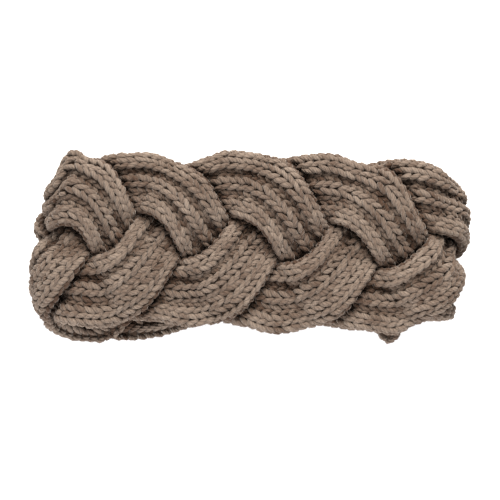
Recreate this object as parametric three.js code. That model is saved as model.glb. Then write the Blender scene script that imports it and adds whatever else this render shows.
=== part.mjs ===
// Ear warmer headband: a closed loop plaited from three thick knitted strips, lying folded flat in two layers.
// Sizes are in millimetres. X runs along the folded band, Y across it, Z up from the surface it lies on.
import * as THREE from "three";

// Driving sizes of the loop
const flatLength = 256;
const bandWidth = 101;
const openingHeight = 12;
const upperLayerSag = 3;
const restFlattening = 1.5;

// Driving sizes of the plait
const strandThickness = 12;
const strandGap = 2;
const meetingHole = 2.8;
const wavesPerStrand = 3;
const crestOffset = -11.5;
const waveFlatness = 0.06;

// Places along the loop where the plait is drawn tighter, as shares of its usual closeness
const TIGHTER = [{ place: -66, reach: 60, share: 0.12 }];
// The plait is narrower where it turns round each fold
const foldReach = 48;
const foldNarrowing = 0.16;

// The lower layer lies nearer the lower edge, most of all towards the left fold
const lowerLayerShift = 1;
const leftEndShift = 14;
const leftEndPlace = -85;
const leftEndReach = 75;
// The left fold droops towards the lower edge
const foldDroop = 10;
const foldDroopReach = 42;

// The crossings of the upper layer run a little downhill to the right, while its edges stay level
const crossingSlant = 0.045;

// Where an edge of one layer stands out or is drawn in: an ear at the upper left, a nub at the lower right,
// and the dips and swells between the plait's scallops. Side 1 is the upper edge, layer 1 the upper layer.
const EDGES = [
  { name: "ear", side: 1, layer: 1, place: -103, reach: 13, out: 10 },
  { name: "upper left corner", side: 1, layer: 1, place: -120, reach: 14, out: -7 },
  { name: "upper left dip", side: 1, layer: 1, place: -37, reach: 24, out: -7 },
  { name: "upper right dip", side: 1, layer: 1, place: 64, reach: 22, out: -5 },
  { name: "lower left dip", side: -1, layer: 1, place: -60, reach: 34, out: -6 },
  { name: "lower swell", side: -1, layer: 1, place: 16, reach: 26, out: 4 },
  { name: "upper right corner", side: 1, layer: 1, place: 118, reach: 20, out: -4 },
  { name: "nub", side: -1, layer: 0, place: 84, reach: 12, out: 9 },
];

// Each strand of the plait, with its lag behind the first in turns of one wave
const STRANDS = [
  { name: "strand_a", lag: 0, colour: 0x8b7a6b },
  { name: "strand_b", lag: 1 / 3, colour: 0x93816f },
  { name: "strand_c", lag: 2 / 3, colour: 0x857565 },
];

// Section of one knitted strip, as a share of its half width and of its fullness there.
// The deep valley beside the two columns on its left edge is the fold of the rolled strip.
const OUTER_FACE = [
  { across: -0.92, fullness: 0.98 },
  { across: -0.74, fullness: 0.9 },
  { across: -0.57, fullness: 1.0 },
  { across: -0.38, fullness: 0.62 },
  { across: -0.18, fullness: 0.98 },
  { across: 0.01, fullness: 0.86 },
  { across: 0.21, fullness: 0.96 },
  { across: 0.4, fullness: 0.34 },
  { across: 0.6, fullness: 1.0 },
  { across: 0.77, fullness: 0.9 },
  { across: 0.93, fullness: 0.98 },
];
const INNER_FACE = [
  { across: 0.88, fullness: 0.98 },
  { across: 0.66, fullness: 0.94 },
  { across: 0.4, fullness: 0.97 },
  { across: 0.1, fullness: 0.8 },
  { across: -0.22, fullness: 0.96 },
  { across: -0.54, fullness: 0.94 },
  { across: -0.84, fullness: 0.98 },
];

// Shape of a strip's thickness across it: how square its middle is and how blunt its edges are
const sectionSquareness = 2.3;
const edgeBluntness = 0.66;
// The bend of one strip over another starts a little outside the other's edge
const bendReach = 1.13;
const bendSquareness = 3.2;

const stationsPerStrand = 99;

// Sizes that follow from the driving ones
const halfTurn = Math.PI;
const fullTurn = 2 * Math.PI;
const layerHalf = strandThickness + strandGap / 2;
const foldRadius = openingHeight / 2 + layerHalf;
const straightRun = flatLength - 2 * (foldRadius + layerHalf);
const loopLength = 2 * straightRun + fullTurn * foldRadius;
// Where two strips cross beside the third one's crest
const crossing = fullTurn / 12;

// A smooth hump of height one, and the area under it up to a share of its reach either side of its middle
function hump(share) {
  return Math.abs(share) < 1 ? Math.cos((halfTurn * share) / 2) ** 2 : 0;
}
function humpArea(share) {
  const held = Math.min(Math.max(share, -1), 1);
  return (1 + held + Math.sin(halfTurn * held) / halfTurn) / 2;
}
// Distance along the loop from the middle of one of its places, the shorter way round
function around(along, from) {
  const apart = along - from;
  return apart - loopLength * Math.round(apart / loopLength);
}

// Turns of the plait's waves at a place along the loop, and the length of one wave there
const drawnLength = TIGHTER.reduce((sum, spot) => sum + spot.share * spot.reach, 0);
const waveLength = (loopLength + drawnLength) / wavesPerStrand;
function wave(along) {
  let drawn = 0;
  let tight = 1;
  TIGHTER.forEach(({ place, reach, share }) => {
    const offset = around(along, place);
    const loops = (along - place - offset) / loopLength;
    drawn += share * reach * (loops + humpArea(offset / reach) - humpArea(-place / reach));
    tight += share * hump(offset / reach);
  });
  return { turns: (along + drawn - crestOffset) / waveLength + 1 / 4, pitch: waveLength / tight };
}

// Half the width of the band at a place along the loop
const foldMiddle = (straightRun + halfTurn * foldRadius) / 2;
function bandHalf(along) {
  const right = hump(around(along, foldMiddle) / foldReach);
  const left = hump(around(along, -foldMiddle) / foldReach);
  return (bandWidth / 2) * (1 - foldNarrowing * (right + left));
}

// One wave of a strip from side to side, with crests fuller than a sine's, and how steep it is
function swingShape(phase) {
  return (Math.sin(phase) + waveFlatness * Math.sin(3 * phase)) / (1 - waveFlatness);
}
function swingSlope(phase) {
  return (Math.cos(phase) + 3 * waveFlatness * Math.cos(3 * phase)) / (1 - waveFlatness);
}

// Swing of the strips from side to side and half their width.
// They are the widest strips that leave the small hole where three of them meet.
function solveStrip(edge, pitch) {
  let low = 0;
  let high = edge;
  for (let pass = 0; pass < 50; pass += 1) {
    const half = (low + high) / 2;
    const swing = edge - half;
    const slope = (fullTurn * swing * swingSlope(crossing)) / pitch;
    const reach = half * (1 + Math.hypot(1, slope));
    if ((1 + swingShape(crossing)) * swing > reach + meetingHole) low = half;
    else high = half;
  }
  return { half: low, swing: edge - low };
}

// Middle line of a strip at a place along the loop, with its half width measured straight across the band
function middle(along, lag) {
  const { turns, pitch } = wave(along);
  const strip = solveStrip(bandHalf(along), pitch);
  const phase = fullTurn * (turns + lag);
  const slope = (fullTurn * strip.swing * swingSlope(phase)) / pitch;
  const half = strip.half * Math.hypot(1, slope);
  return { y: strip.swing * swingShape(phase), half, rising: slope > 0 };
}

// Room that a strip takes up where another one crosses it
function room(along, y, lag) {
  const line = middle(along, lag);
  const share = Math.abs(y - line.y) / (line.half * bendReach);
  return share < 1 ? (strandThickness + strandGap) * (1 - share ** bendSquareness) : 0;
}

// Height of a strip's middle surface: it lies over the strip behind it and under the strip ahead of it
function lift(along, y, lag) {
  return (room(along, y, lag - 1 / 3) - room(along, y, lag + 1 / 3)) / 2;
}

// Half thickness of a strip at a share of its half width
function halfThickness(across) {
  return (strandThickness / 2) * (1 - Math.abs(across) ** sectionSquareness) ** edgeBluntness;
}

// Place in space for a distance along the loop, a place across it and a height above its middle surface
function place(along, y, height) {
  const from = (((along + straightRun / 2) % loopLength) + loopLength) % loopLength;
  const fold = halfTurn * foldRadius;
  let turn = 0;
  let x = 0;
  if (from < straightRun) {
    x = from - straightRun / 2;
  } else if (from < straightRun + fold) {
    turn = (from - straightRun) / foldRadius;
    x = straightRun / 2;
  } else if (from < 2 * straightRun + fold) {
    turn = halfTurn;
    x = straightRun / 2 - (from - straightRun - fold);
  } else {
    turn = halfTurn + (from - 2 * straightRun - fold) / foldRadius;
    x = -straightRun / 2;
  }
  const radius = foldRadius + height;
  x += radius * Math.sin(turn);
  const level = foldRadius + layerHalf + radius * Math.cos(turn);
  return settle(x, y, level);
}

// The loop settles as it lies: the upper layer sags, the lower one shifts and is flattened below
function settle(x, y, level) {
  const upper = level / (2 * (foldRadius + layerHalf));
  const middleShare = Math.cos((halfTurn * x) / flatLength) ** 2;
  const leftEnd = leftEndShift * hump((x - leftEndPlace) / leftEndReach);
  const droop = foldDroop * hump((x + flatLength / 2) / foldDroopReach);
  let drawn = 0;
  EDGES.forEach(({ side, layer, place: spot, reach, out }) => {
    const edge = Math.max((y * side) / (bandWidth / 2), 0);
    drawn += side * out * hump((x - spot) / reach) * edge ** 2 * Math.abs(1 - layer - upper);
  });
  const slant = crossingSlant * x * upper * (1 - Math.min(Math.abs(y) / (bandWidth / 2), 1) ** 2);
  const shifted = y + drawn - (lowerLayerShift + leftEnd) * (1 - upper) - droop - slant;
  const settled = level - upperLayerSag * upper * middleShare - restFlattening;
  return [x, shifted, Math.max(settled, 0)];
}

// Stations are spread evenly by the waves, so they lie closer where the plait is tight
function stationPlace(station) {
  const target = wave(0).turns + (wavesPerStrand * station) / stationsPerStrand;
  let low = 0;
  let high = loopLength;
  for (let pass = 0; pass < 50; pass += 1) {
    const half = (low + high) / 2;
    if (wave(half).turns < target) low = half;
    else high = half;
  }
  return low;
}

// One strip as a closed tube of the section above, swept right round the loop.
// Each facet is split in the direction of the strip that crosses it, so that the two bend alike.
function strandGeometry(lag) {
  const points = [];
  const faces = [];
  const ring = 2 + OUTER_FACE.length + INNER_FACE.length;
  for (let station = 0; station < stationsPerStrand; station += 1) {
    const along = stationPlace(station);
    const line = middle(along, lag);
    const put = (across, side, fullness) => {
      const y = line.y + across * line.half;
      points.push(...place(along, y, lift(along, y, lag) + side * fullness * halfThickness(across)));
    };
    put(-1, 0, 0);
    OUTER_FACE.forEach((rib) => put(rib.across, 1, rib.fullness));
    put(1, 0, 0);
    INNER_FACE.forEach((rib) => put(rib.across, -1, rib.fullness));
    const next = ((station + 1) % stationsPerStrand) * ring;
    for (let corner = 0; corner < ring; corner += 1) {
      const a = station * ring + corner;
      const b = next + corner;
      const c = next + ((corner + 1) % ring);
      const d = station * ring + ((corner + 1) % ring);
      const outer = corner <= OUTER_FACE.length;
      if (line.rising === outer) faces.push(a, b, d, b, c, d);
      else faces.push(a, b, c, a, c, d);
    }
  }
  const geometry = new THREE.BufferGeometry();
  geometry.setAttribute("position", new THREE.Float32BufferAttribute(points, 3));
  geometry.setIndex(faces);
  geometry.computeVertexNormals();
  return geometry;
}

const group = new THREE.Group();
const extent = new THREE.Box3();
STRANDS.forEach(({ name, lag, colour }) => {
  const cloth = new THREE.MeshStandardMaterial({ color: colour, roughness: 0.95 });
  const mesh = new THREE.Mesh(strandGeometry(lag), cloth);
  mesh.name = name;
  group.add(mesh);
  extent.expandByObject(mesh);
});

// The origin is at the bottom of the box round the band, in the middle
const centre = extent.getCenter(new THREE.Vector3());
group.children.forEach((mesh) => mesh.geometry.translate(-centre.x, -centre.y, -extent.min.z));

export default group;
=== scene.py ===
# Ear warmer headband: a loop plaited from three knitted strips, lying folded flat on a pale floor.
import math

import bpy
import numpy as np
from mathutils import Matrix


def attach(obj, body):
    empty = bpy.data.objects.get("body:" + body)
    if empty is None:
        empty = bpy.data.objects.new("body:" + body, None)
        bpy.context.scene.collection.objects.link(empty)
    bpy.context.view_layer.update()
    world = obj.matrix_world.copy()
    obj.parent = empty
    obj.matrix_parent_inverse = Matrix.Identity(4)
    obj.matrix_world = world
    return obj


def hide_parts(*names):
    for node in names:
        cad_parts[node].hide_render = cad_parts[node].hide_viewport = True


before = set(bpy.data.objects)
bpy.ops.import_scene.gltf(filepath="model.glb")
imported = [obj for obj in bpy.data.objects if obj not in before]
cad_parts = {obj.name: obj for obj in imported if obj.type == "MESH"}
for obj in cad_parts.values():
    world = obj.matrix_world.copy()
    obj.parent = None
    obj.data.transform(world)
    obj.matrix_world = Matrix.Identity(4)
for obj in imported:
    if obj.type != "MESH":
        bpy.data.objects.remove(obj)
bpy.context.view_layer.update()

# The plait, in millimetres, as the solids have it

FLAT_LENGTH, BAND_WIDTH, OPENING = 256.0, 101.0, 12.0
SAG, REST_FLATTENING = 3.0, 1.5
THICKNESS, GAP, MEETING_HOLE = 12.0, 2.0, 2.8
WAVES, CREST_OFFSET, FLATNESS = 3, -11.5, 0.06
# Where the waves lie closer together: place, reach and share
TIGHTER = [(-66.0, 60.0, 0.12)]
FOLD_REACH, FOLD_NARROWING = 48.0, 0.16
# How the lower layer lies off the upper one, more so at the left, and how far the left fold droops
LOWER_SHIFT, LEFT_SHIFT, LEFT_PLACE, LEFT_REACH = 1.0, 14.0, -85.0, 75.0
DROOP, DROOP_REACH = 10.0, 42.0
SLANT = 0.045
# Where an edge of one layer stands out or is drawn in: side, layer, place, reach and how far out
EDGES = [
    (1, 1, -103.0, 13.0, 10.0), (1, 1, -120.0, 14.0, -7.0), (1, 1, -37.0, 24.0, -7.0),
    (1, 1, 64.0, 22.0, -5.0), (-1, 1, -60.0, 34.0, -6.0), (-1, 1, 16.0, 26.0, 4.0),
    (1, 1, 118.0, 20.0, -4.0), (-1, 0, 84.0, 12.0, 9.0),
]
SQUARENESS, BLUNTNESS = 2.3, 0.66
BEND_REACH, BEND_SQUARENESS = 1.13, 3.2
STATIONS = 99
# How far each strand is on, as a share of a wave
LAGS = {"a": 0.0, "b": 1 / 3, "c": 2 / 3}
# Corners of the solids' section on its two faces: share across, and share of the full half thickness
OUTER = [
    (-0.92, 0.98), (-0.74, 0.9), (-0.57, 1.0), (-0.38, 0.62), (-0.18, 0.98), (0.01, 0.86),
    (0.21, 0.96), (0.4, 0.34), (0.6, 1.0), (0.77, 0.9), (0.93, 0.98),
]
INNER = [(0.88, 0.98), (0.66, 0.94), (0.4, 0.97), (0.1, 0.8), (-0.22, 0.96), (-0.54, 0.94), (-0.84, 0.98)]

LAYER_HALF = THICKNESS + GAP / 2
FOLD_RADIUS = OPENING / 2 + LAYER_HALF
STRAIGHT = FLAT_LENGTH - 2 * (FOLD_RADIUS + LAYER_HALF)
LOOP = 2 * STRAIGHT + 2 * math.pi * FOLD_RADIUS
# Phase at which two strips cross, and the share of a wave from its start to its crest
CROSSING, CREST = np.pi / 6, 0.25
WAVE = (LOOP + sum(reach * share for _, reach, share in TIGHTER)) / WAVES


def hump(u):
    """A smooth hump, 1 in the middle and 0 from -1 down and from 1 up."""
    return np.where(np.abs(u) < 1, np.cos(np.pi * np.clip(u, -1, 1) / 2) ** 2, 0.0)


def hump_area(u):
    held = np.clip(u, -1, 1)
    return (1 + held + np.sin(np.pi * held) / np.pi) / 2


def around(along, place):
    """Distance from a place the shorter way round the loop."""
    apart = along - place
    return apart - LOOP * np.floor(apart / LOOP + 0.5)


def wave(along):
    """Waves run so far, and the length of a wave there."""
    drawn, tight = 0.0, 1.0
    for place, reach, share in TIGHTER:
        offset = around(along, place)
        loops = (along - place - offset) / LOOP
        drawn = drawn + share * reach * (loops + hump_area(offset / reach) - hump_area(-place / reach))
        tight = tight + share * hump(offset / reach)
    return (along + drawn - CREST_OFFSET) / WAVE + CREST, WAVE / tight


def swing_shape(phase):
    return (np.sin(phase) + FLATNESS * np.sin(3 * phase)) / (1 - FLATNESS)


def swing_slope(phase):
    return (np.cos(phase) + 3 * FLATNESS * np.cos(3 * phase)) / (1 - FLATNESS)


HALVINGS = 50


def solve_strip(edge, pitch):
    """Half a strip's width that leaves only the small hole where three strips meet, by halving."""
    low, high = np.zeros_like(edge), edge.copy()
    for _ in range(HALVINGS):
        half = (low + high) / 2
        swing = edge - half
        reach = half * (1 + np.hypot(1, 2 * np.pi * swing * swing_slope(CROSSING) / pitch))
        wide = (1 + swing_shape(CROSSING)) * swing > reach + MEETING_HOLE
        low, high = np.where(wide, half, low), np.where(wide, high, half)
    return low


# Half the band's and the strip's width at fine steps round the loop
FINE_STEPS = 4001
FOLD_MIDDLE = (STRAIGHT + math.pi * FOLD_RADIUS) / 2
STEPS = np.linspace(0, LOOP, FINE_STEPS)
BAND_HALF = BAND_WIDTH / 2 * (1 - FOLD_NARROWING * (hump(around(STEPS, FOLD_MIDDLE) / FOLD_REACH)
                                                    + hump(around(STEPS, -FOLD_MIDDLE) / FOLD_REACH)))
HALF_TABLE = solve_strip(BAND_HALF, wave(STEPS)[1])


def middle(along, lag):
    """A strip's middle line, its half width straight across the band, its true half width and its slope."""
    turns, pitch = wave(along)
    spot = np.mod(along, LOOP)
    half = np.interp(spot, STEPS, HALF_TABLE)
    swing = np.interp(spot, STEPS, BAND_HALF) - half
    phase = 2 * np.pi * (turns + lag)
    slope = 2 * np.pi * swing * swing_slope(phase) / pitch
    return swing * swing_shape(phase), half * np.hypot(1, slope), half, slope


def room(along, y, lag):
    """Height that a strip takes up where it lies over or under another one."""
    line, wide, _, _ = middle(along, lag)
    share = np.minimum(np.abs(y - line) / (wide * BEND_REACH), 1)
    return (THICKNESS + GAP) * (1 - share ** BEND_SQUARENESS)


def lift(along, y, lag):
    """Height of a strip's middle: over the strip before it and under the one after it."""
    return (room(along, y, lag - 1 / 3) - room(along, y, lag + 1 / 3)) / 2


def place(along, y, height):
    """A point of the unrolled plait, set on the loop that lies folded flat in two layers."""
    start = np.mod(along + STRAIGHT / 2, LOOP)
    fold = math.pi * FOLD_RADIUS
    on_right = np.clip((start - STRAIGHT) / FOLD_RADIUS, 0, math.pi)
    on_left = np.clip((start - 2 * STRAIGHT - fold) / FOLD_RADIUS, 0, math.pi)
    turn = on_right + on_left
    x = (np.clip(start, 0, STRAIGHT) - np.clip(start - STRAIGHT - fold, 0, STRAIGHT) - STRAIGHT / 2)
    radius = FOLD_RADIUS + height
    x = x + radius * np.sin(turn)
    level = FOLD_RADIUS + LAYER_HALF + radius * np.cos(turn)
    upper = level / (2 * (FOLD_RADIUS + LAYER_HALF))
    left = LEFT_SHIFT * hump((x - LEFT_PLACE) / LEFT_REACH)
    droop = DROOP * hump((x + FLAT_LENGTH / 2) / DROOP_REACH)
    drawn = 0
    for side, layer, spot, reach, out in EDGES:
        edge = np.maximum(y * side / (BAND_WIDTH / 2), 0)
        drawn = drawn + side * out * hump((x - spot) / reach) * edge ** 2 * np.abs(1 - layer - upper)
    slant = SLANT * x * upper * (1 - np.minimum(np.abs(y) / (BAND_WIDTH / 2), 1) ** 2)
    sag = SAG * upper * np.cos(np.pi * x / FLAT_LENGTH) ** 2
    shifted = y + drawn - (LOWER_SHIFT + left) * (1 - upper) - droop - slant
    return np.stack([x, shifted, level - sag - REST_FLATTENING], -1)


def on_strip(along, across, height, lag):
    line, wide, _, _ = middle(along, lag)
    y = line + across * wide
    return place(along, y, lift(along, y, lag) + height)


def squared(along, across, column_across, lag):
    """Place along the loop that sets a point square to its own column instead of square to the band."""
    _, _, half, slope = middle(along, lag)
    return along - (across - column_across) * half * slope / np.hypot(1, slope)


def half_thickness(across):
    return THICKNESS / 2 * (1 - np.abs(across) ** SQUARENESS) ** BLUNTNESS


def solids_box():
    """Box round the strips before they are moved to their origin."""
    even = wave(0.0)[0] + WAVES * np.arange(STATIONS) / STATIONS
    along = np.interp(even, wave(STEPS)[0], STEPS)
    corners = ([(a, f * half_thickness(a)) for a, f in OUTER] + [(-1, 0), (1, 0)]
               + [(a, -f * half_thickness(a)) for a, f in INNER])
    low, high = np.full(3, np.inf), np.full(3, -np.inf)
    for lag in LAGS.values():
        for across, height in corners:
            points = on_strip(along, across, height, lag)
            points[:, 2] = np.maximum(points[:, 2], 0)
            low, high = np.minimum(low, points.min(0)), np.maximum(high, points.max(0))
    return low, high


own_low, own_high = solids_box()
ORIGIN = np.array([(own_low[0] + own_high[0]) / 2, (own_low[1] + own_high[1]) / 2, own_low[2]])
# From here on the stitches of the ear, the nub and the lower left edge stand out past the solids
EDGES += [(1, 1, -104.0, 10.0, 5.5), (-1, 0, 84.0, 11.0, 5.0), (-1, 0, -80.0, 50.0, 4.0)]

# Wool that lies lower than this over the floor is pressed up to stay above it, and how gently
REST_DEPTH, REST_EASE = 0.4, 1.5
MILLIMETRE = 0.001


def metres(points):
    """From the plait's own place to the model's frame, flattened where it rests."""
    moved = points - ORIGIN
    level = moved[..., 2]
    pressed = REST_DEPTH * np.exp((level - REST_DEPTH) / REST_DEPTH / REST_EASE)
    moved[..., 2] = np.where(level < REST_DEPTH, pressed, level)
    return moved * MILLIMETRE


# How deep a point lies in the plait, for the painted shade of its wool: darker in hollows, lighter on rims

# A point's hollow is how far it lies below the plait's surface at this many places this far round it
ROUND_ABOUT, PLACES_ROUND = 7.0, 8
# Height taken for the surface where no strip lies
BARE = -7.0
# Rims that stand out get painted light: they are lightened by this share of what a hollow is darkened by
# painted shade
RIM_PAINTED_LIGHT_SHARE = 0.35


def surface(along, y, side):
    """Height of the plait's outer (side 1) or inner (side -1) surface over its middle."""
    top = np.full(np.shape(along), BARE)
    for lag in LAGS.values():
        line, wide, _, _ = middle(along, lag)
        share = np.abs(y - line) / wide
        level = side * lift(along, y, lag) + half_thickness(np.minimum(share, 1))
        top = np.maximum(top, np.where(share < 1, level, BARE))
    return top


def hollow(along, y, level, outer):
    """Depth below the surface round about; outer is 1 on a strip's outer face and 0 on its inner one."""
    below = 0
    for turn in 2 * math.pi * np.arange(PLACES_ROUND) / PLACES_ROUND:
        there = along + ROUND_ABOUT * math.cos(turn), y + ROUND_ABOUT * math.sin(turn)
        for side, weight in ((1, outer), (-1, 1 - outer)):
            below = below + weight * (surface(*there, side) - side * level) / PLACES_ROUND
    return below


def beyond(along, y, lag, outer):
    """How far a point lies outside the strip that crosses over it, as a share of its half width."""
    ahead = np.where(outer > 0.5, 1 / 3, -1 / 3)
    line, wide, _, _ = middle(along, lag + ahead)
    return np.abs(y - line) / wide - 1


# Section of a strip at the middle of its yarn: an oval with two lengthways valleys on its outer face

# Radius of the yarn, and the half width that shares across the strip count in
YARN = 1.7
SECTION_HALF = 19.0
# Share across, width as a share, and depth
VALLEYS = [(0.33, 0.105, 5.0), (-0.33, 0.115, 3.0)]
VALLEY_FILL = 1.7
# How deep a strip is drawn in beside the one that crosses over it, and how far from it, as a share
TUCK, TUCK_REACH = 2.4, 0.24
# How much fuller the section is at its edges, and how round its faces are, from square at 0
EDGE_FULLNESS, TOP_SQUARENESS = 0.9, 0.68


def section(angle, inset=0.0):
    """Share across and height at an angle round the section, from the right edge over the outer face."""
    half, deep = SECTION_HALF - YARN - inset + EDGE_FULLNESS, THICKNESS / 2 - YARN - inset
    across = half * np.cos(angle) / SECTION_HALF
    height = deep * np.sign(np.sin(angle)) * np.abs(np.sin(angle)) ** TOP_SQUARENESS
    for spot, width, depth in VALLEYS:
        height = height - np.where(np.sin(angle) > 0, depth * np.exp(-((across - spot) / width) ** 2), 0)
    return across, height


def fill(along, across, lag):
    """The second valley is deeper where the strip runs down to the right and shallower where it runs up.
    The outer face is also drawn in where another strip crosses over it."""
    line, wide, _, slope = middle(along, lag)
    spot, width, _ = VALLEYS[1]
    filled = VALLEY_FILL * np.clip(slope, -1, 1) * np.exp(-((across - spot) / width) ** 2)
    outside = np.maximum(beyond(along, line + across * wide, lag, 1), 0)
    return filled - TUCK * np.exp(-(outside / TUCK_REACH) ** 2)


def angle_of(across, outer):
    angle = math.acos(max(-1, min(1, across * SECTION_HALF / (SECTION_HALF - YARN + EDGE_FULLNESS))))
    return angle if outer else 2 * math.pi - angle


# Borders of the stitch columns across the two faces of the section
OUTER_BORDERS = [0.93, 0.64, 0.34, 0.0, -0.33, -0.64, -0.93]
INNER_BORDERS = [-0.6, -0.2, 0.2, 0.6]
BORDERS = [angle_of(a, True) for a in OUTER_BORDERS] + [angle_of(a, False) for a in INNER_BORDERS]
BORDERS.append(BORDERS[0] + 2 * math.pi)
FACE_COLUMNS = [0, 1, 2, 3, 4, 5]
BACK_COLUMNS = [6, 7, 8, 9, 10]

# Length run round the section, at fine steps that go round it twice
ROUND = np.linspace(0, 4 * math.pi, FINE_STEPS)
round_across, round_height = section(ROUND)
ROUND_LENGTH = np.concatenate([[0], np.cumsum(np.hypot(np.diff(round_across) * SECTION_HALF,
                                                       np.diff(round_height)))])


def column_angle(column, share):
    """Angle round the section at a share from -1 to 1 across a column, even along its surface."""
    ends = np.interp([BORDERS[column], BORDERS[column + 1]], ROUND, ROUND_LENGTH)
    return np.interp((ends[0] + ends[1]) / 2 - share * (ends[1] - ends[0]) / 2, ROUND_LENGTH, ROUND)


def column_line(column, lag):
    """Length run along the middle of a column, at each of the fine steps round the loop."""
    across, height = section(column_angle(column, 0.0))
    points = on_strip(STEPS, across, height, lag)
    return np.concatenate([[0], np.cumsum(np.linalg.norm(np.diff(points, axis=0), axis=1))])


# Stitches: two legs of yarn that make a V in each row of each column

# Length of a row, and which way the stitches of each strand point round the loop
ROW = 4.8
DIRECTION = {"a": 1, "b": 1, "c": -1}
# Spread from stitch to stitch: along in rows, up in millimetres, thickness and lean in shares
SLIP, RISE, SIZE, LEAN = 0.06, 0.13, 0.07, 0.11
# A leg starts here and runs this far, in rows
LEG_START, LEG_RUN = -0.02, 1.32
# It goes from its foot outwards across half a column, as shares of it, by this power of the part run
FOOT, SPREAD, SPREAD_POWER = 0.14, 0.74, 0.92
# Its height over the section, in yarns: at the foot, gained along it, and the power of its bulge
FOOT_HEIGHT, CLIMB, BULGE_POWER = -0.9, 0.35, 0.75
# How far a leg bulges out and how fat it is. The columns that turn round the two edges lie smoother
PUFF, FATNESS = 0.82, 1.0
EDGE_COLUMNS = [6, 10]
EDGE_PUFF, EDGE_FATNESS = 0.55, 1.12
# Thickness at the ends, what its middle adds, the power of the swelling, and the width against the height
END_SIZE, MIDDLE_SIZE, SIZE_POWER, YARN_WIDTH = 0.7, 0.3, 0.6, 0.88
# Small steps round and out of the section that give its directions
STEP_ROUND, STEP_OUT = 0.01, 0.5
# How sharply the outer face gives way to the inner one at the strip's edges, for the hollows
FACE_TURN = 1.5
# Added depth of hollow beside a strip that crosses over, which deepens the painted shade there, and how far
# it reaches, as a share
CROSSING_SHADE, CROSSING_SHADE_REACH = 4, 0.16
# The tip of a leg counts at least this much as swollen, so that only its foot gets painted shade
TIP_SWELL = 0.5
# Random start of the yarn's texture, and the length of one unit of it
TEXTURE_START, TEXTURE_UNIT = 20, 10


def unit(vectors):
    return vectors / np.linalg.norm(vectors, axis=-1, keepdims=True)


def yarn_rings(centre, above, thick, sides):
    """Rings of points round the middle of the yarn, from points just above it that give its upper side."""
    theta = 2 * np.pi * np.arange(sides) / sides
    forward = unit(np.gradient(centre, axis=1))
    normal = above - centre
    normal = unit(normal - forward * np.sum(normal * forward, -1, keepdims=True))
    beside = np.cross(forward, normal)
    spread = (thick[..., None, None] * (YARN_WIDTH * np.cos(theta)[:, None] * beside[:, :, None, :]
                                        + np.sin(theta)[:, None] * normal[:, :, None, :]))
    return centre[:, :, None, :] + spread


def painted_shade_depth(along, across, height, angle, lag):
    """How deep the yarn lies in the plait, deeper beside and under a strip that crosses over, for the
    painted shade in its hollows and the painted light on its rims.
    """
    line, wide, _, _ = middle(along, lag)
    y = line + across * wide
    outer = np.clip(0.5 + FACE_TURN * np.sin(angle), 0, 1)
    depth = hollow(along, y, lift(along, y, lag) + height, outer) - YARN
    depth = np.where(depth > 0, depth, RIM_PAINTED_LIGHT_SHARE * depth)
    outside = np.maximum(beyond(along, y, lag, outer), 0)
    return depth + CROSSING_SHADE * np.exp(-(outside / CROSSING_SHADE_REACH) ** 2)


def legs(strand, columns, segments, sides, seed):
    """Rings of points of every stitch leg in these columns, with tone, the swell and hollow that set their
    painted shade, and length run.
    """
    rng = np.random.default_rng(seed)
    lag, way = LAGS[strand], DIRECTION[strand]
    lines = {column: column_line(column, lag) for column in range(len(BORDERS) - 1)}
    rows = round(np.mean([line[-1] for line in lines.values()]) / ROW)
    count = np.arange(rows)
    part = np.linspace(0, 1, segments + 1)
    bulge = np.sin(np.pi * part)
    rings, tones_and_shades, runs = [], [], []
    for column in columns:
        line = lines[column]
        puff, fatness = (EDGE_PUFF, EDGE_FATNESS) if column in EDGE_COLUMNS else (PUFF, FATNESS)
        for side in (-1, 1):
            slip = rng.normal(0, SLIP, rows)[:, None]
            rise = rng.normal(0, RISE, rows)[:, None]
            size = (1 + rng.normal(0, SIZE, rows))[:, None]
            lean = (1 + rng.normal(0, LEAN, rows))[:, None]

            # Where the middle of the yarn runs
            run = count[:, None] + slip + LEG_START + LEG_RUN * part
            along = np.interp(np.mod(way * run / rows, 1) * line[-1], line, STEPS)
            share = side * way * (FOOT + SPREAD * part ** SPREAD_POWER) * lean
            angle = column_angle(column, share)
            across, height = section(angle)
            ahead, up = section(angle + STEP_ROUND)
            tangent = unit(np.stack([(ahead - across) * SECTION_HALF, up - height], -1))
            out = np.stack([tangent[..., 1], -tangent[..., 0]], -1)
            dip = YARN * (FOOT_HEIGHT + CLIMB * part + puff * bulge ** BULGE_POWER) + rise
            across = across + out[..., 0] * dip / SECTION_HALF
            height = height + out[..., 1] * dip
            along = squared(along, across, section(column_angle(column, 0.0))[0], lag)
            height = height + np.where(np.sin(angle) > 0, fill(along, across, lag), 0)

            # Rings of points round it
            centre = on_strip(along, across, height, lag)
            above = on_strip(along, across + out[..., 0] * STEP_OUT / SECTION_HALF,
                             height + out[..., 1] * STEP_OUT, lag)
            thick = size * fatness * YARN * (END_SIZE + MIDDLE_SIZE * bulge ** SIZE_POWER)
            rings.append(yarn_rings(centre, above, thick, sides))

            # What the material needs to know at each ring: a random tone, and the swell and hollow that set
            # its painted shade
            tone = np.broadcast_to(rng.normal(0, 1, rows)[:, None], along.shape)
            swell = np.broadcast_to(np.maximum(bulge, TIP_SWELL * part), along.shape)
            tones_and_shades.append(np.stack([tone, swell, painted_shade_depth(along, across, height, angle, lag)], -1))
            steps = np.linalg.norm(np.diff(centre, axis=1), axis=-1)
            walked = np.concatenate([np.zeros((rows, 1)), np.cumsum(steps, axis=1)], axis=1)
            runs.append(walked + rng.uniform(0, TEXTURE_START, rows)[:, None])
    return np.concatenate(rings), np.concatenate(tones_and_shades), np.concatenate(runs)


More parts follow.
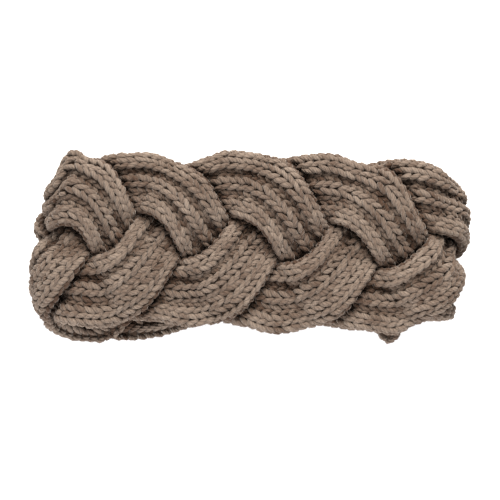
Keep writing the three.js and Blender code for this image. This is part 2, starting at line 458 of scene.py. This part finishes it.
def mesh_object(name, points, faces, material):
    mesh = bpy.data.meshes.new(name)
    mesh.from_pydata(points, [], faces)
    mesh.materials.append(material)
    mesh.polygons.foreach_set("use_smooth", np.ones(len(mesh.polygons), dtype=bool))
    mesh.update()
    piece = bpy.data.objects.new(name, mesh)
    bpy.context.scene.collection.objects.link(piece)
    return piece


# Faces that close the end of a leg, for each number of sides
CAPS = {6: [(0, 1, 2, 3), (0, 3, 4, 5)], 8: [(0, 1, 2, 3), (0, 3, 4, 7), (4, 5, 6, 7)]}


def stitches(name, strand, columns, segments, sides, seed, material):
    """The stitches of these columns, each leg a closed tube with this many segments and sides."""
    rings, tones_and_shades, runs = legs(strand, columns, segments, sides, seed)
    count, points_of_leg = len(rings), (segments + 1) * sides
    ring, corner = np.meshgrid(np.arange(segments), np.arange(sides), indexing="ij")
    ring, corner = ring.ravel(), corner.ravel()
    following = (corner + 1) % sides
    tube = np.stack([ring * sides + corner, ring * sides + following,
                     (ring + 1) * sides + following, (ring + 1) * sides + corner], -1)[:, ::-1]
    caps = np.array(CAPS[sides])
    one = np.concatenate([tube, caps, segments * sides + caps[:, ::-1]])
    quads = (np.arange(count)[:, None, None] * points_of_leg + one).reshape(-1, 4)
    piece = mesh_object(name, metres(rings.reshape(-1, 3)), quads, material)
    mesh = piece.data
    for number, label in enumerate(("tone", "swell", "hollow")):
        values = mesh.attributes.new(label, "FLOAT", "POINT")
        values.data.foreach_set("value", np.repeat(tones_and_shades[..., number].ravel(), sides))

    # Texture places: once round the yarn, and the length run along it
    turn = np.concatenate([np.stack([corner, corner + 1, corner + 1, corner], -1)[:, ::-1] / sides,
                           np.zeros((2 * len(caps), 4))])
    step = np.concatenate([np.stack([ring, ring, ring + 1, ring + 1], -1)[:, ::-1],
                           np.zeros((len(caps), 4)), np.full((len(caps), 4), segments)]).astype(int)
    uv = np.empty((count, len(one), 4, 2))
    uv[..., 0] = turn
    uv[..., 1] = runs[:, step] / TEXTURE_UNIT
    layer = mesh.uv_layers.new(name="yarn")
    layer.uv.foreach_set("vector", uv.ravel())
    return piece, rings


# Stray fibres, each a root, three points round its bend, and a tip, in millimetres

FIBRES = 8000
FIBRE_LENGTH, FIBRE_RADIUS, FIBRE_ROOT = (1.5, 4.2), 0.045, 0.3
# A fibre's first half leans out, along the yarn and at random, its second on along it and a little back
FIRST_OUT, FIRST_ALONG, FIRST_STRAY = 0.75, 0.7, 0.45
LAST_ALONG, LAST_STRAY, LAST_BACK = 0.8, 0.7, 0.2
# Turns a fibre's direction a little, to find one square to it
ASKEW = 0.1
FIBRE_SIDES, FIBRE_POINTS = 3, 5


def fuzz(name, rings, count, seed, material):
    """Stray fibres that stand out of the yarn, each a thin closed spindle with a bend in it."""
    rng = np.random.default_rng(seed)
    leg = rng.integers(0, len(rings), count)
    ring = rng.integers(1, rings.shape[1] - 1, count)
    corner = rng.integers(0, rings.shape[2] // 2 + 1, count)
    centres = rings.mean(axis=2)
    base, centre = rings[leg, ring, corner], centres[leg, ring]
    out, along = unit(base - centre), unit(centres[leg, ring + 1] - centres[leg, ring - 1])
    way = rng.choice([-1.0, 1.0], count)[:, None]
    first = unit(FIRST_OUT * out + FIRST_ALONG * way * along + FIRST_STRAY * rng.normal(size=(count, 3)))
    last = unit(first + LAST_ALONG * way * along + LAST_STRAY * rng.normal(size=(count, 3))
                - LAST_BACK * out)
    length = rng.uniform(*FIBRE_LENGTH, count)[:, None] / 2
    root = base - FIBRE_ROOT * out
    bend = root + length * first
    beside = unit(np.cross(first, out + ASKEW))
    above = np.cross(first, beside)
    round_bend = [bend + FIBRE_RADIUS * (math.cos(turn) * beside + math.sin(turn) * above)
                  for turn in 2 * np.pi * np.arange(FIBRE_SIDES) / FIBRE_SIDES]
    points = np.stack([root, *round_bend, bend + length * last], axis=1)
    one = [face for a, b in ((1, 2), (2, 3), (3, 1)) for face in ((0, b, a), (a, b, 4))]
    faces = (FIBRE_POINTS * np.arange(count)[:, None, None] + np.array(one)).reshape(-1, 3)
    return mesh_object(name, metres(points.reshape(-1, 3)), faces, material)


CORE_INSET = 0.9


def core(name, strand, stations, corners, material):
    """The inside of a strip, just under its stitches."""
    lag = LAGS[strand]
    along = LOOP * np.arange(stations) / stations
    angle = 2 * np.pi * np.arange(corners) / corners
    across, height = section(angle, inset=CORE_INSET)
    along, across = np.broadcast_arrays(along[:, None], across[None, :])
    height = height[None, :] + np.where(np.sin(angle)[None, :] > 0, fill(along, across, lag), 0)
    points = on_strip(along, across, height, lag)
    station, corner = np.meshgrid(np.arange(stations), np.arange(corners), indexing="ij")
    next_station, next_corner = (station + 1) % stations, (corner + 1) % corners
    quads = np.stack([station * corners + corner, station * corners + next_corner,
                      next_station * corners + next_corner, next_station * corners + corner], -1)
    return mesh_object(name, metres(points.reshape(-1, 3)), quads.reshape(-1, 4), material)


# Materials

BUMP_DISTANCE = 0.0004
# The plies of the yarn, and the length in which they turn round it once
PLIES, PLY_TURN = 4, 9.0
# Fine fibres, drawn out along the plies
FIBRE_SCALE = (15, 3, 1)
# How much a stitch's own tone, patches of the wool and its fibres count in its brightness
MIDDLE_TONE, TONE_SHARE, PATCH_SHARE, FIBRE_SHARE = 0.5, 0.07, 0.7, 1.0
# Painted shade: what is taken off the brightness from a rim to a hollow, in millimetres of depth; rims that
# stand out get painted light
HOLLOW_DEPTHS, HOLLOW_SHADE = (-5.0, 5.0), (0.56, 1.14)
# Places of the dark and the light colour on the scale of brightness
DARK_PLACE, LIGHT_PLACE = 0.2, 0.8
# Painted shade at the foot of each leg and in the grooves between its plies
END_SWELL, END_SHADE = (0.0, 0.5), (0.3, 1.0)
GROOVE, GROOVE_SHADE = (0.0, 0.6), (0.82, 1.0)
# How much the fibres count in the bump, against the plies
FIBRE_HEIGHT = 0.45


class NodeMaterial:
    """A material of one principled shader, and helpers that add nodes to it."""

    def __init__(self, name, values):
        self.material = bpy.data.materials.new(name)
        self.material.use_nodes = True
        self.tree = self.material.node_tree
        self.tree.nodes.clear()
        self.shader = self.node("ShaderNodeBsdfPrincipled", values)
        self.node("ShaderNodeOutputMaterial", {"Surface": self.shader.outputs["BSDF"]})

    def feed(self, socket, value):
        """Gives an input a plain value, or links it to another node's output."""
        if isinstance(value, bpy.types.NodeSocket):
            self.tree.links.new(value, socket)
        else:
            socket.default_value = value

    def node(self, kind, inputs=None, **settings):
        made = self.tree.nodes.new(kind)
        for key, value in settings.items():
            setattr(made, key, value)
        for key, value in (inputs or {}).items():
            self.feed(made.inputs[key], value)
        return made

    def maths(self, operation, *terms):
        return self.node("ShaderNodeMath", dict(enumerate(terms)), operation=operation).outputs[0]

    def noise(self, vector, scale, detail, roughness):
        inputs = {"Vector": vector, "Scale": scale, "Detail": detail, "Roughness": roughness}
        return self.node("ShaderNodeTexNoise", inputs).outputs["Fac"]

    def object_place(self):
        return self.node("ShaderNodeTexCoord").outputs["Object"]

    def attribute(self, label):
        return self.node("ShaderNodeAttribute", attribute_name=label).outputs["Fac"]

    def map_range(self, value, before, after):
        inputs = {"Value": value, "From Min": before[0], "From Max": before[1],
                  "To Min": after[0], "To Max": after[1]}
        return self.node("ShaderNodeMapRange", inputs).outputs[0]

    def ramp(self, value, *stops):
        made = self.node("ShaderNodeValToRGB", {"Fac": value})
        for element, (position, colour) in zip(made.color_ramp.elements, stops):
            element.position, element.color = position, (*colour, 1)
        return made.outputs["Color"]

    def bump(self, height, strength):
        inputs = {"Height": height, "Strength": strength, "Distance": BUMP_DISTANCE}
        self.feed(self.shader.inputs["Normal"], self.node("ShaderNodeBump", inputs).outputs["Normal"])


def yarn_material(name, dark, light):
    """Yarn of twisted plies with fine fibres, with painted shade in hollows, at the feet of its stitches
    and between its plies, and painted light on rims.
    """
    wool = NodeMaterial(name, {"Roughness": 0.85, "Specular IOR Level": 0.12, "Sheen Weight": 0.2,
                               "Sheen Roughness": 0.45, "Sheen Tint": (0.95, 0.84, 0.74, 1)})
    uv = wool.node("ShaderNodeUVMap", uv_map="yarn").outputs["UV"]
    split = wool.node("ShaderNodeSeparateXYZ", {"Vector": uv}).outputs
    turned = wool.maths("ADD", split["X"], wool.maths("MULTIPLY", split["Y"], TEXTURE_UNIT / PLY_TURN))
    ply = wool.maths("ABSOLUTE", wool.maths("SINE", wool.maths("MULTIPLY", turned, PLIES * math.pi)))

    fibre_place = wool.node("ShaderNodeCombineXYZ", {"X": turned, "Y": split["Y"]}).outputs["Vector"]
    drawn_out = wool.node("ShaderNodeVectorMath", {0: fibre_place, 1: FIBRE_SCALE}, operation="MULTIPLY")
    fibre = wool.noise(drawn_out.outputs[0], scale=1.0, detail=3.0, roughness=0.6)
    patch = wool.noise(wool.object_place(), scale=60.0, detail=3.0, roughness=0.55)

    bright = wool.maths("MULTIPLY_ADD", wool.attribute("tone"), TONE_SHARE, MIDDLE_TONE)
    bright = wool.maths("MULTIPLY_ADD", patch, PATCH_SHARE, bright)
    bright = wool.maths("MULTIPLY_ADD", fibre, FIBRE_SHARE, bright)
    # Painted shade in hollows and painted light on rims that stand out
    painted_hollow_shade = wool.map_range(wool.attribute("hollow"), HOLLOW_DEPTHS, HOLLOW_SHADE)
    colour = wool.ramp(wool.maths("SUBTRACT", bright, painted_hollow_shade), (DARK_PLACE, dark), (LIGHT_PLACE, light))
    # Painted shade at the feet of the legs and in the grooves between the plies
    shade = wool.maths("MULTIPLY", wool.map_range(wool.attribute("swell"), END_SWELL, END_SHADE),
                       wool.map_range(ply, GROOVE, GROOVE_SHADE))
    shaded = wool.node("ShaderNodeVectorMath", {0: colour, "Scale": shade}, operation="SCALE")
    wool.feed(wool.shader.inputs["Base Color"], shaded.outputs[0])
    wool.bump(wool.maths("MULTIPLY_ADD", fibre, FIBRE_HEIGHT, ply), strength=0.8)
    return wool.material


def noise_material(name, dark, light, scale):
    """Rough wool whose colour and bump follow a fine noise."""
    wool = NodeMaterial(name, {"Roughness": 0.95, "Specular IOR Level": 0.1})
    noise = wool.noise(wool.object_place(), scale, detail=4.0, roughness=0.6)
    wool.feed(wool.shader.inputs["Base Color"], wool.ramp(noise, (0.0, dark), (1.0, light)))
    wool.bump(noise, strength=0.6)
    return wool.material


yarn_wool = yarn_material("wool_yarn", dark=(0.05, 0.0275, 0.017), light=(0.173, 0.132, 0.103))
# The inside is coloured much darker than the yarn: painted shade where it shows in the gaps between
# stitches
painted_shade_inside = noise_material("wool_inside_painted_shade", (0.02, 0.012, 0.008), (0.05, 0.032, 0.022), scale=900.0)
fibre_wool = noise_material("wool_fibres", (0.14, 0.105, 0.08), (0.26, 0.2, 0.16), scale=300.0)

# The pieces of each strand

# Segments along a leg and sides round it, on the face and on the back; stations and corners of the inside
FACE_DETAIL, BACK_DETAIL = (6, 8), (3, 6)
CORE_DETAIL = (300, 32)
FACE_SEED, BACK_SEED, FUZZ_SEED = 11, 21, 31

for number, strand in enumerate(LAGS):
    face, rings = stitches(f"stitches_{strand}_face", strand, FACE_COLUMNS, *FACE_DETAIL,
                           FACE_SEED + number, yarn_wool)
    back, _ = stitches(f"stitches_{strand}_back", strand, BACK_COLUMNS, *BACK_DETAIL,
                       BACK_SEED + number, yarn_wool)
    hairs = fuzz(f"fuzz_{strand}", rings, FIBRES, FUZZ_SEED + number, fibre_wool)
    body = core(f"core_{strand}", strand, *CORE_DETAIL, painted_shade_inside)
    for piece in (face, back, hairs, body):
        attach(piece, "root")
        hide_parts(f"strand_{strand}")

# Floor, lights and camera, in metres

FLOOR_HALF, FLOOR_GREY = 2.5, 0.97
AIM = (0, 0, 0.03)
# Name, place, size, power and colour
LIGHTS = [
    ("key", (0.15, 1.4, 1.15), 1.0, 92, (1.0, 0.975, 0.94)),
    ("fill", (-0.3, -1.5, 0.9), 1.3, 58, (0.98, 0.985, 1.0)),
]
WORLD_STRENGTH = 0.42
# Size of the photo's pixel at the height of the upper layer, and the photo's width in pixels
PIXEL, UPPER_LEVEL, PHOTO_WIDTH = 0.000573, 0.045, 500
DISTANCE, SENSOR, CLIP_END = 1.5, 36, 20
CAMERA_SHIFT, CAMERA_TURN = -0.0013, 1.4


def floor():
    half = FLOOR_HALF
    mesh = bpy.data.meshes.new("floor")
    mesh.from_pydata([(-half, -half, 0), (half, -half, 0), (half, half, 0), (-half, half, 0)],
                     [], [(0, 1, 2, 3)])
    paint = NodeMaterial("floor_paint", {"Base Color": (FLOOR_GREY, FLOOR_GREY, FLOOR_GREY, 1),
                                         "Roughness": 0.9})
    mesh.materials.append(paint.material)
    piece = bpy.data.objects.new("floor", mesh)
    bpy.context.scene.collection.objects.link(piece)


def area_light(name, location, size, power, colour):
    light = bpy.data.lights.new(name, "AREA")
    light.shape, light.size, light.energy, light.color = "SQUARE", size, power, colour
    lamp = bpy.data.objects.new(name, light)
    lamp.location = location
    direction = np.array(AIM) - np.array(location)
    lamp.rotation_euler = (math.atan2(math.hypot(direction[0], direction[1]), -direction[2]),
                           0, math.atan2(direction[1], direction[0]) - math.pi / 2)
    bpy.context.scene.collection.objects.link(lamp)


floor()
for light in LIGHTS:
    area_light(*light)

world = bpy.data.worlds.new("studio")
bpy.context.scene.world = world
world.use_nodes = True
background = world.node_tree.nodes["Background"]
background.inputs["Color"].default_value = (1, 1, 1, 1)
background.inputs["Strength"].default_value = WORLD_STRENGTH

camera_data = bpy.data.cameras.new("camera")
camera_data.sensor_width = SENSOR
camera_data.lens = SENSOR * (DISTANCE - UPPER_LEVEL) / (PHOTO_WIDTH * PIXEL)
camera_data.clip_end = CLIP_END
camera = bpy.data.objects.new("camera", camera_data)
camera.location = (0, CAMERA_SHIFT, DISTANCE)
camera.rotation_euler = (0, 0, math.radians(CAMERA_TURN))
bpy.context.scene.collection.objects.link(camera)
bpy.context.scene.camera = camera
bpy.context.scene.view_settings.view_transform = "Standard"
